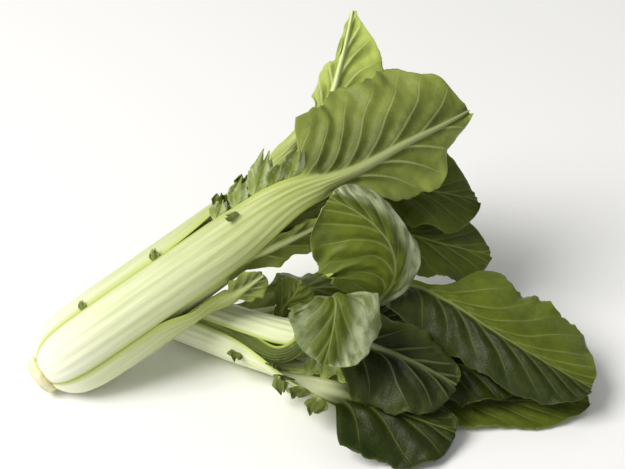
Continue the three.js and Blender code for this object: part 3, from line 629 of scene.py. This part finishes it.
def leaflet_sheet(spine, stalk, spec, tone, rng):
    """A torn scrap of blade that stands on the stalk, its root sunk into it."""
    inner, back, stalk_fields = stalk
    up, across, long, wide_mm, splay, lean = spec
    row_up = stalk_fields["up"][:, 0] + spine["blade_start"] * spine["length"]
    row = int(np.argmin(np.abs(row_up - up)))
    column = int(np.argmin(np.abs(stalk_fields["ridge"][row] - across)))
    surface = back[row, column]

    # the way that it grows, the way across it and the way that it faces
    out = unit(surface - inner[row, column])
    t = spine["t"][round(up / spine["length"] * SPINE_STEPS)]
    aside = np.cross(out, t) * np.sign(across)
    splay, lean = math.radians(splay), math.radians(lean)
    outward = unit(out * math.cos(splay) + aside * math.sin(splay))
    ahead = outward * math.cos(lean) + t * math.sin(lean)
    wide = t * math.cos(lean) - outward * math.sin(lean)
    face = np.cross(ahead, wide)

    u = np.linspace(0, 1, LEAFLET_ROWS)[:, None]
    v = np.linspace(-1, 1, LEAFLET_COLUMNS)[None, :]
    frill = 1 + LEAFLET_FRILL * ripples(rng, u * long * 2, v * wide_mm, 6, 6)
    reach = wide_mm / 2 * lerp(LEAFLET_BASE, 1, np.sin(LEAFLET_TAPER * u)) * frill
    tears = LEAFLET_TEARS * u * np.sin(7 * v + up)
    tears = tears + LEAFLET_FRAY * u**2 * ripples(rng, v * wide_mm, 0 * u, 6, 5) - LEAFLET_BOW * v**2
    ahead_by = (long + LEAFLET_ROOT) * u * (1 + tears)
    ruffle = -LEAFLET_CURL * wide_mm * u * (1 + np.cos(5 * v + 3 * u + up)) * np.sign(across)
    ruffle = ruffle + LEAFLET_CRIMP * wide_mm * u * np.sin(11 * v + 4 * u) * np.abs(v)
    points = (surface - out * LEAFLET_ROOT + ahead * ahead_by[..., None] + wide * (reach * v)[..., None]
              + face * ruffle[..., None])
    normal = unit(np.cross(np.gradient(points, axis=1), np.gradient(points, axis=0)))
    rib = 1 + 1.5 * np.exp(-(v / 0.12) ** 2) * (1 - u)
    half = (LEAFLET_THICKNESS / 2 * (1 - 0.5 * np.abs(v) ** 8) * rib)[..., None]
    fields = dict(
        across=v * wide_mm / 2, up=u * long, edge=0.3 + 0.7 * np.abs(v),
        vein=3 * (u - 0.4 * np.abs(v)) + 0.5 * (v > 0), pitch=30,
        green=smoothstep(u + 0.4 * np.abs(v), 0.02, 0.4), rise=1, tone=tone, bloom=0.4 * tone, ridge=v)
    return points + normal * half, points - normal * half, {k: w + 0 * u * v for k, w in fields.items()}


# Meshes.

FIELDS = ("across", "up", "edge", "vein", "pitch", "green", "rise", "tone", "bloom", "ridge")


def sheet_faces(rows, columns):
    """Faces of a closed sheet whose two grids of points follow each other."""
    i, j = np.meshgrid(np.arange(rows - 1), np.arange(columns - 1), indexing="ij")
    a = (i * columns + j).ravel()
    top = np.stack([a, a + 1, a + columns + 1, a + columns], 1)
    points = np.arange(rows * columns).reshape(rows, columns)
    rim = np.concatenate([points[0, :-1], points[:-1, -1], points[-1, :0:-1], points[:0:-1, 0]])
    after = np.roll(rim, -1)
    half = rows * columns
    sides = np.stack([rim, rim + half, after + half, after], 1)
    return np.vstack([top, top[:, ::-1] + half, sides])


def make_piece(name, points, faces, fields):
    """An object in the scene, kept inside the solids' box, with the fields as attributes of its points."""
    low, high = (np.array(corner) for corner in cad_box)
    mesh = bpy.data.meshes.new(name)
    mesh.from_pydata(np.clip(points * MM, low, high).tolist(), [], faces)
    mesh.polygons.foreach_set("use_smooth", np.ones(len(mesh.polygons), bool))
    for key, values in fields.items():
        mesh.attributes.new(key, "FLOAT", "POINT").data.foreach_set("value", values.astype(np.float32))
    mesh.update()
    piece = bpy.data.objects.new(name, mesh)
    bpy.context.scene.collection.objects.link(piece)
    return piece


def make_leaf(name, sheets):
    """One object of closed sheets, each (inner face, back, fields)."""
    points, faces, fields, inside, start = [], [], {key: [] for key in FIELDS}, [], 0
    for over, under, values in sheets:
        rows, columns = over.shape[:2]
        faces.append(sheet_faces(rows, columns) + start)
        points += [over.reshape(-1, 3), under.reshape(-1, 3)]
        inside += [np.ones(rows * columns), np.zeros(rows * columns)]
        for key in FIELDS:
            fields[key] += [values[key].ravel()] * 2
        start += 2 * rows * columns
    joined = {key: np.concatenate(values) for key, values in {**fields, "inside": inside}.items()}
    return make_piece(name, np.vstack(points), np.vstack(faces).tolist(), joined)


def make_stem(name, head, rng):
    """A domed cut face with a lobed rim, and the stem's steps inside the stalks."""
    r = head["cut_radius"]
    turn = np.linspace(0, 2 * math.pi, STEM_SIDES, endpoint=False)[None, :]
    ring = np.array([share for share, _ in STEM_PROFILE])[:, None] * r
    up = np.array([distance for _, distance in STEM_PROFILE])[:, None] + 0 * turn
    cut = up < 0.5
    lobes = sum(depth * (1 + np.cos(count * turn + start)) for count, start, depth in STEM_LOBES)
    ring = ring * np.where(cut, 1 - lobes * smoothstep(ring, 0.5 * r, r), 1)
    bumps = ripples(rng, ring * np.cos(turn), ring * np.sin(turn), 8, 8)
    up = up + np.where(cut, STEM_RELIEF * bumps, 0)
    points = (head["origin"] + head["axis"] * up[..., None] + head["up"] * (ring * np.cos(turn))[..., None]
              + head["side"] * (ring * np.sin(turn))[..., None])
    rows, sides = len(STEM_PROFILE), STEM_SIDES
    i, j = np.meshgrid(np.arange(rows - 1), np.arange(sides), indexing="ij")
    a, b = (i * sides + j).ravel(), (i * sides + (j + 1) % sides).ravel()
    faces = np.stack([a, a + sides, b + sides, b], 1).tolist()
    faces += [list(range(sides)), list(range(rows * sides - 1, (rows - 1) * sides - 1, -1))]
    dry_rim = 0.7 * np.exp(-((up + 6.9) / 0.9) ** 2)
    rim, depth = ring / r + 0 * turn, smoothstep(up, -7.4, -6.2)
    dry = np.maximum(dry_rim, smoothstep(up, -2.6, 0.2))
    fields = dict(rim=rim.ravel(), depth=depth.ravel(), dry=dry.ravel())
    return make_piece(name, points.reshape(-1, 3), faces, fields)


# Materials.

class Tree:
    """A short way to write a material's nodes."""

    def __init__(self, name):
        self.material = bpy.data.materials.new(name)
        self.material.use_nodes = True
        self.nodes, self.links = self.material.node_tree.nodes, self.material.node_tree.links
        self.shader = self.nodes["Principled BSDF"]

    def node(self, kind, inputs=None, **settings):
        made = self.nodes.new("ShaderNode" + kind)
        for key, value in settings.items():
            setattr(made, key, value)
        for key, value in (inputs or {}).items():
            self.put(made.inputs[key], value)
        return made

    def put(self, socket, value):
        if isinstance(value, bpy.types.NodeSocket):
            self.links.new(value, socket)
        elif isinstance(value, (tuple, list)) and socket.type == "RGBA":
            socket.default_value = (*value, 1)[:4]
        else:
            socket.default_value = value

    def math(self, operation, a, b=0.0, c=0.0):
        return self.node("Math", {0: a, 1: b, 2: c}, operation=operation).outputs[0]

    def plus(self, a, b):
        return self.math("ADD", a, b)

    def minus(self, a, b):
        return self.math("SUBTRACT", a, b)

    def times(self, a, b):
        return self.math("MULTIPLY", a, b)

    def size(self, a):
        return self.math("ABSOLUTE", a)

    def ramp(self, value, low, high, to_low=0.0, to_high=1.0):
        return self.node("MapRange", {0: value, 1: low, 2: high, 3: to_low, 4: to_high},
                         interpolation_type="SMOOTHSTEP").outputs[0]

    def mix(self, factor, a, b):
        made = self.node("Mix", data_type="RGBA")
        for index, value in ((0, factor), (6, a), (7, b)):
            self.put(made.inputs[index], value)
        return made.outputs[2]

    def coats(self, colour, *coats):
        """The colour under coats of others: (where it lies, how strong it is, its colour)."""
        for where, strength, coat in coats:
            colour = self.mix(self.times(where, strength), colour, coat)
        return colour

    def field(self, name):
        return self.node("Attribute", attribute_name=name).outputs["Fac"]

    def vector(self, x, y, z):
        return self.node("CombineXYZ", {0: x, 1: y, 2: z}).outputs[0]

    def noise(self, vector, scale, detail=3.0, rough=0.5):
        return self.node("TexNoise", {"Vector": vector, "Scale": scale, "Detail": detail,
                                      "Roughness": rough}).outputs["Fac"]

    def net(self, vector, scale, width):
        """The walls between cells."""
        cells = self.node("TexVoronoi", {"Vector": vector, "Scale": scale}, feature="DISTANCE_TO_EDGE")
        return self.ramp(cells.outputs["Distance"], 0.0, width, 1.0, 0.0)

    def finish(self, colour, roughness, **values):
        values = {"Base Color": colour, "Roughness": roughness, **values}
        for key, value in values.items():
            self.put(self.shader.inputs[key.replace("_", " ")], value)
        return self.material


def add_veins(m, f):
    """Adds where the veins are: side veins, finer ones half-way between them and a net of small ones."""
    f.to_vein = m.times(m.size(m.minus(m.math("FRACT", f.vein), 0.5)), f.pitch)
    vein_width = m.ramp(f.edge, 0.05, 0.9, 0.85, 0.25)
    side_vein = m.ramp(m.math("DIVIDE", f.to_vein, vein_width), 0.4, 1.5, 1.0, 0.0)
    f.side_vein = m.times(side_vein, m.ramp(f.edge, 0.55, 1.0, 1.0, 0.15))
    f.vein_glow = m.ramp(f.to_vein, 0.3, 3.2, 1.0, 0.0)

    wobble = m.node("TexNoise", {"Vector": f.on_leaf, "Scale": 0.16, "Detail": 2.0})
    shake = m.times(m.minus(wobble.outputs["Fac"], 0.5), 0.5)
    half_way = m.minus(m.math("FRACT", m.plus(m.times(f.vein, 3.0), shake)), 0.5)
    to_fine_vein = m.times(m.size(half_way), m.times(f.pitch, 0.333))
    f.fine_vein = m.times(m.ramp(to_fine_vein, 0.08, 0.5, 1.0, 0.0), m.ramp(f.edge, 0.25, 0.6))

    bent = m.node("VectorMath", {0: wobble.outputs["Color"], 1: (4.0, 4.0, 0.0), 2: f.on_leaf},
                  operation="MULTIPLY_ADD").outputs[0]
    f.net, f.fine_net = m.net(bent, 0.22, 0.09), m.net(bent, 0.6, 0.12)


def add_noises(m, f):
    """Adds the patches, speckles and streaks, and shade: dark green to pale, with painted shade and light.
    """
    patches = m.ramp(m.noise(f.on_leaf, 0.045, 4.0, 0.6), 0.3, 0.7)
    patchy = m.times(patches, m.math("MULTIPLY_ADD", f.tone, 0.3, 0.05))
    f.shade = m.math("MULTIPLY_ADD", f.tone, 0.85, patchy)
    f.speckle = m.noise(f.on_leaf, 0.9, 3.0, 0.6)
    along_stalk = m.vector(m.times(f.ridge, 5.0), m.times(f.up, 0.012), f.inside)
    f.streak = m.noise(along_stalk, 1.3, 4.0, 0.55)
    f.mottle = m.noise(f.on_leaf, 0.12, 3.0, 0.6)


def face_colour(m, f):
    """The blade's inner face."""
    net = m.mix(f.shade, *FACE_NET)
    return m.coats(
        m.mix(f.shade, *FACE), (f.speckle, 0.3, m.mix(f.shade, *FACE_SPECK)), (f.net, 0.3, net),
        (f.fine_vein, 0.35, net), (f.vein_glow, 0.4, net), (f.side_vein, 0.6, m.mix(f.shade, *FACE_VEIN)))


def back_colour(m, f):
    """The blade's back: painted light towards its margin, painted shade in folds beside its side veins."""
    # painted light: lighter towards the margin, where the back curls up to the light
    margin_light = m.math("MULTIPLY_ADD", f.tone, 0.55, 0.07)
    shade = m.math("MULTIPLY_ADD", m.minus(f.edge, 0.45), margin_light, f.shade)
    # painted shade in the hollows beside the side veins, most near the midrib
    beside = m.times(m.ramp(f.to_vein, 1.0, 7.0, 1.0, 0.0), m.ramp(f.edge, 0.15, 0.75, 1.0, 0.0))
    net = m.mix(shade, *BACK_NET)
    return m.coats(
        m.mix(shade, *BACK), (beside, 0.65, m.mix(shade, *BACK_FOLD_SHADE)),
        (f.speckle, 0.3, m.mix(shade, *BACK_SPECK)), (f.net, 0.3, net), (f.fine_net, 0.15, net),
        (f.fine_vein, 0.5, net), (f.side_vein, 0.75, m.mix(shade, *BACK_VEIN)))


def blade_colour(m, f):
    """The blade, with grey wax and painted sheen in streaks along its veins and a pale margin."""
    blade = m.mix(f.inside, back_colour(m, f), face_colour(m, f))
    by_vein = m.vector(m.times(f.vein, 1.6), m.times(f.across, 0.07), f.inside)
    drift = m.plus(m.times(m.noise(by_vein, 1.4, 4.0, 0.6), 0.65),
                   m.times(m.noise(f.on_leaf, 0.06, 3.0, 0.6), 0.35))
    # painted sheen and grey wax, in streaks along the veins
    wax_and_sheen = m.times(m.times(f.bloom, m.ramp(drift, 0.38, 0.62, 0.15, 1.0)), m.ramp(f.edge, 0.2, 0.65))
    blade = m.mix(wax_and_sheen, blade, m.mix(f.bloom, *WAX_AND_SHEEN))
    return m.mix(m.ramp(f.edge, 0.94, 1.0, 0.0, 0.3), blade, m.mix(f.shade, *MARGIN))


def stalk_colour(m, f):
    """The stalk, nearly white at its foot and greener with height, and the midrib that it turns into."""
    low = m.mix(m.ramp(f.streak, 0.3, 0.8), *LOW_STALK)
    high = m.mix(m.ramp(f.streak, 0.3, 0.7), *HIGH_STALK)
    stalk = m.mix(m.ramp(f.rise, 0.1, 1.0), low, high)
    stalk = m.mix(m.ramp(f.rise, 0.0, 0.3, 0.8, 0.0), stalk, STALK_FOOT)
    stalk = m.mix(m.ramp(f.rise, 1.0, 1.4), stalk, STALK_GREEN)
    stalk = m.mix(m.ramp(f.mottle, 0.55, 0.8, 0.0, 0.2), stalk, STALK_MOTTLE)
    spots = m.ramp(m.noise(f.on_leaf, 0.3, 2.0, 0.55), 0.72, 0.8, 0.0, 0.6)
    stalk = m.mix(spots, stalk, STALK_SPOT)
    stalk = m.mix(m.ramp(m.size(f.ridge), 0.78, 1.0, 0.0, 0.8), stalk, STALK_EDGE)
    rib = m.mix(m.times(m.ramp(f.up, -15.0, 50.0), 0.96), stalk, m.mix(f.tone, *MIDRIB))
    furrow = m.mix(m.ramp(f.up, -20.0, 12.0), stalk, m.mix(f.tone, *FURROW))
    return m.mix(f.inside, rib, furrow)


def leaf_height(m, f, green):
    """The fine relief: the veins and speckles of the blade and the streaks of the stalk."""
    height = m.plus(m.times(m.minus(1.0, f.net), 0.4), m.times(m.minus(1.0, f.fine_net), 0.2))
    height = m.plus(height, m.times(m.minus(1.0, f.side_vein), 0.8))
    height = m.times(m.plus(height, m.times(f.speckle, 0.3)), green)
    grain = m.plus(m.times(f.streak, 0.5), m.times(f.mottle, 0.25))
    return m.plus(height, m.times(grain, m.minus(1.0, green)))


def leaf_material():
    m = Tree("leaf")
    f = SimpleNamespace(**{name: m.field(name) for name in (*FIELDS, "inside")})
    f.on_leaf = m.vector(f.across, f.up, m.times(f.inside, 9.0))
    add_veins(m, f)
    add_noises(m, f)
    in_furrow = m.times(m.ramp(m.size(f.ridge), 0.1, 0.55), m.ramp(f.up, -25.0, 12.0))
    green = m.math("MAXIMUM", f.green, m.times(in_furrow, f.inside))
    colour = m.mix(green, stalk_colour(m, f), blade_colour(m, f))
    bump = m.node("Bump", {"Strength": 0.4, "Distance": 0.0006, "Height": leaf_height(m, f, green)})
    return m.finish(
        colour, m.ramp(f.speckle, 0.3, 0.7, 0.3, 0.42), Normal=bump.outputs[0], Subsurface_Weight=0.12,
        Subsurface_Radius=(0.7, 1.0, 0.35), Subsurface_Scale=0.0025, Specular_IOR_Level=0.16)


def stem_material():
    m = Tree("cut_stem")
    place = m.node("TexCoord").outputs["Object"]
    blotch = m.noise(place, 140, 4.0, 0.65)
    drift = m.times(m.noise(place, 220), 5.0)
    rings = m.math("SINE", m.plus(m.times(m.field("rim"), 38.0), drift))
    flesh = m.mix(m.ramp(rings, -1, 1, 0.0, 0.4), *FLESH)
    flesh = m.mix(m.ramp(blotch, 0.5, 0.75, 0.0, 0.6), flesh, FLESH_BLOTCH)
    skin = m.mix(m.ramp(blotch, 0.4, 0.68, 0.0, 0.7), *SKIN)
    dry = m.times(m.field("dry"), m.ramp(m.noise(place, 320), 0.3, 0.6, 0.35, 0.95))
    colour = m.mix(dry, m.mix(m.field("depth"), flesh, skin), DRY_EDGE)
    height = m.plus(blotch, m.times(rings, 0.15))
    bump = m.node("Bump", {"Strength": 0.6, "Distance": 0.0007, "Height": height})
    return m.finish(
        colour, m.ramp(blotch, 0.3, 0.7, 0.5, 0.7), Normal=bump.outputs[0], Subsurface_Weight=0.15,
        Subsurface_Radius=(1.0, 0.9, 0.5), Subsurface_Scale=0.003)


# The two heads.

LEAF_MATERIAL, STEM_MATERIAL = leaf_material(), stem_material()
for head_name, head in HEADS.items():
    stem = make_stem(f"{head_name}_cut_stem", head, np.random.default_rng(STEM_SEED))
    stem.data.materials.append(STEM_MATERIAL)
    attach(stem, "root")
    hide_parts(f"{head_name}_stem")
    for number, own in enumerate(LEAVES[head_name], 1):
        leaf = {**LEAF, **own}
        rng = np.random.default_rng([len(head_name), number, head_name == "lower"])
        spine = spine_of(head, leaf)
        sheets = [leaf_sheet(head, leaf, spine, rng)]
        for spec in leaf["leaflets"]:
            tone = leaf["scraps"][spec[1] > 0]
            sheets.append(leaflet_sheet(spine, sheets[0], spec, tone, rng))
        piece = make_leaf(f"{head_name}_leaf_{number}", sheets)
        piece.data.materials.append(LEAF_MATERIAL)
        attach(piece, "root")
        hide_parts(f"{head_name}_leaf_{number}_stalk", f"{head_name}_leaf_{number}_blade")


# The table, the light and the camera, in metres and watts.

TABLE_SIZE = 8
TABLE_DROP = 0.0004  # so that the table's face and the leaves' undersides don't fight
TABLE_COLOUR = (0.96, 0.96, 0.95)
KEY = dict(place=(-1.85, -0.85, 2.45), aim=(0.02, 0, 0.06), size=2.1, power=104, colour=(1.0, 0.985, 0.95))
FILL = dict(place=(-0.3, -2.4, 0.8), aim=(0.0, 0, 0.05), size=1.2, power=2.5, colour=(0.98, 0.99, 1.0))
SKY = 0.38
CAMERA_AT = (0.0868, -0.8729, 0.7098)
CAMERA_AIM = (0.0868, 0.0281, 0.0788)
LENS = 84.47


def point_at(item, place, aim):
    item.location = place
    item.rotation_mode = "QUATERNION"
    item.rotation_quaternion = (Vector(aim) - Vector(place)).to_track_quat("-Z", "Y")


def area_light(name, place, aim, size, power, colour):
    light = bpy.data.lights.new(name, "AREA")
    light.shape, light.size, light.energy, light.color = "DISK", size, power, colour
    lamp = bpy.data.objects.new(name, light)
    bpy.context.scene.collection.objects.link(lamp)
    point_at(lamp, place, aim)


bpy.ops.mesh.primitive_plane_add(size=TABLE_SIZE, location=(0, 0, -TABLE_DROP))
table = bpy.context.object
table.name = "table_top"
table.data.materials.append(Tree("table_top").finish(TABLE_COLOUR, 0.7))

area_light("key", **KEY)
area_light("fill", **FILL)
world = bpy.data.worlds.new("studio")
world.use_nodes = True
world.node_tree.nodes["Background"].inputs["Color"].default_value = (1, 1, 1, 1)
world.node_tree.nodes["Background"].inputs["Strength"].default_value = SKY
bpy.context.scene.world = world
bpy.context.scene.view_settings.view_transform = "Standard"

camera = bpy.data.objects.new("camera", bpy.data.cameras.new("camera"))
bpy.context.scene.collection.objects.link(camera)
camera.data.lens = LENS
point_at(camera, CAMERA_AT, CAMERA_AIM)
bpy.context.scene.camera = camera
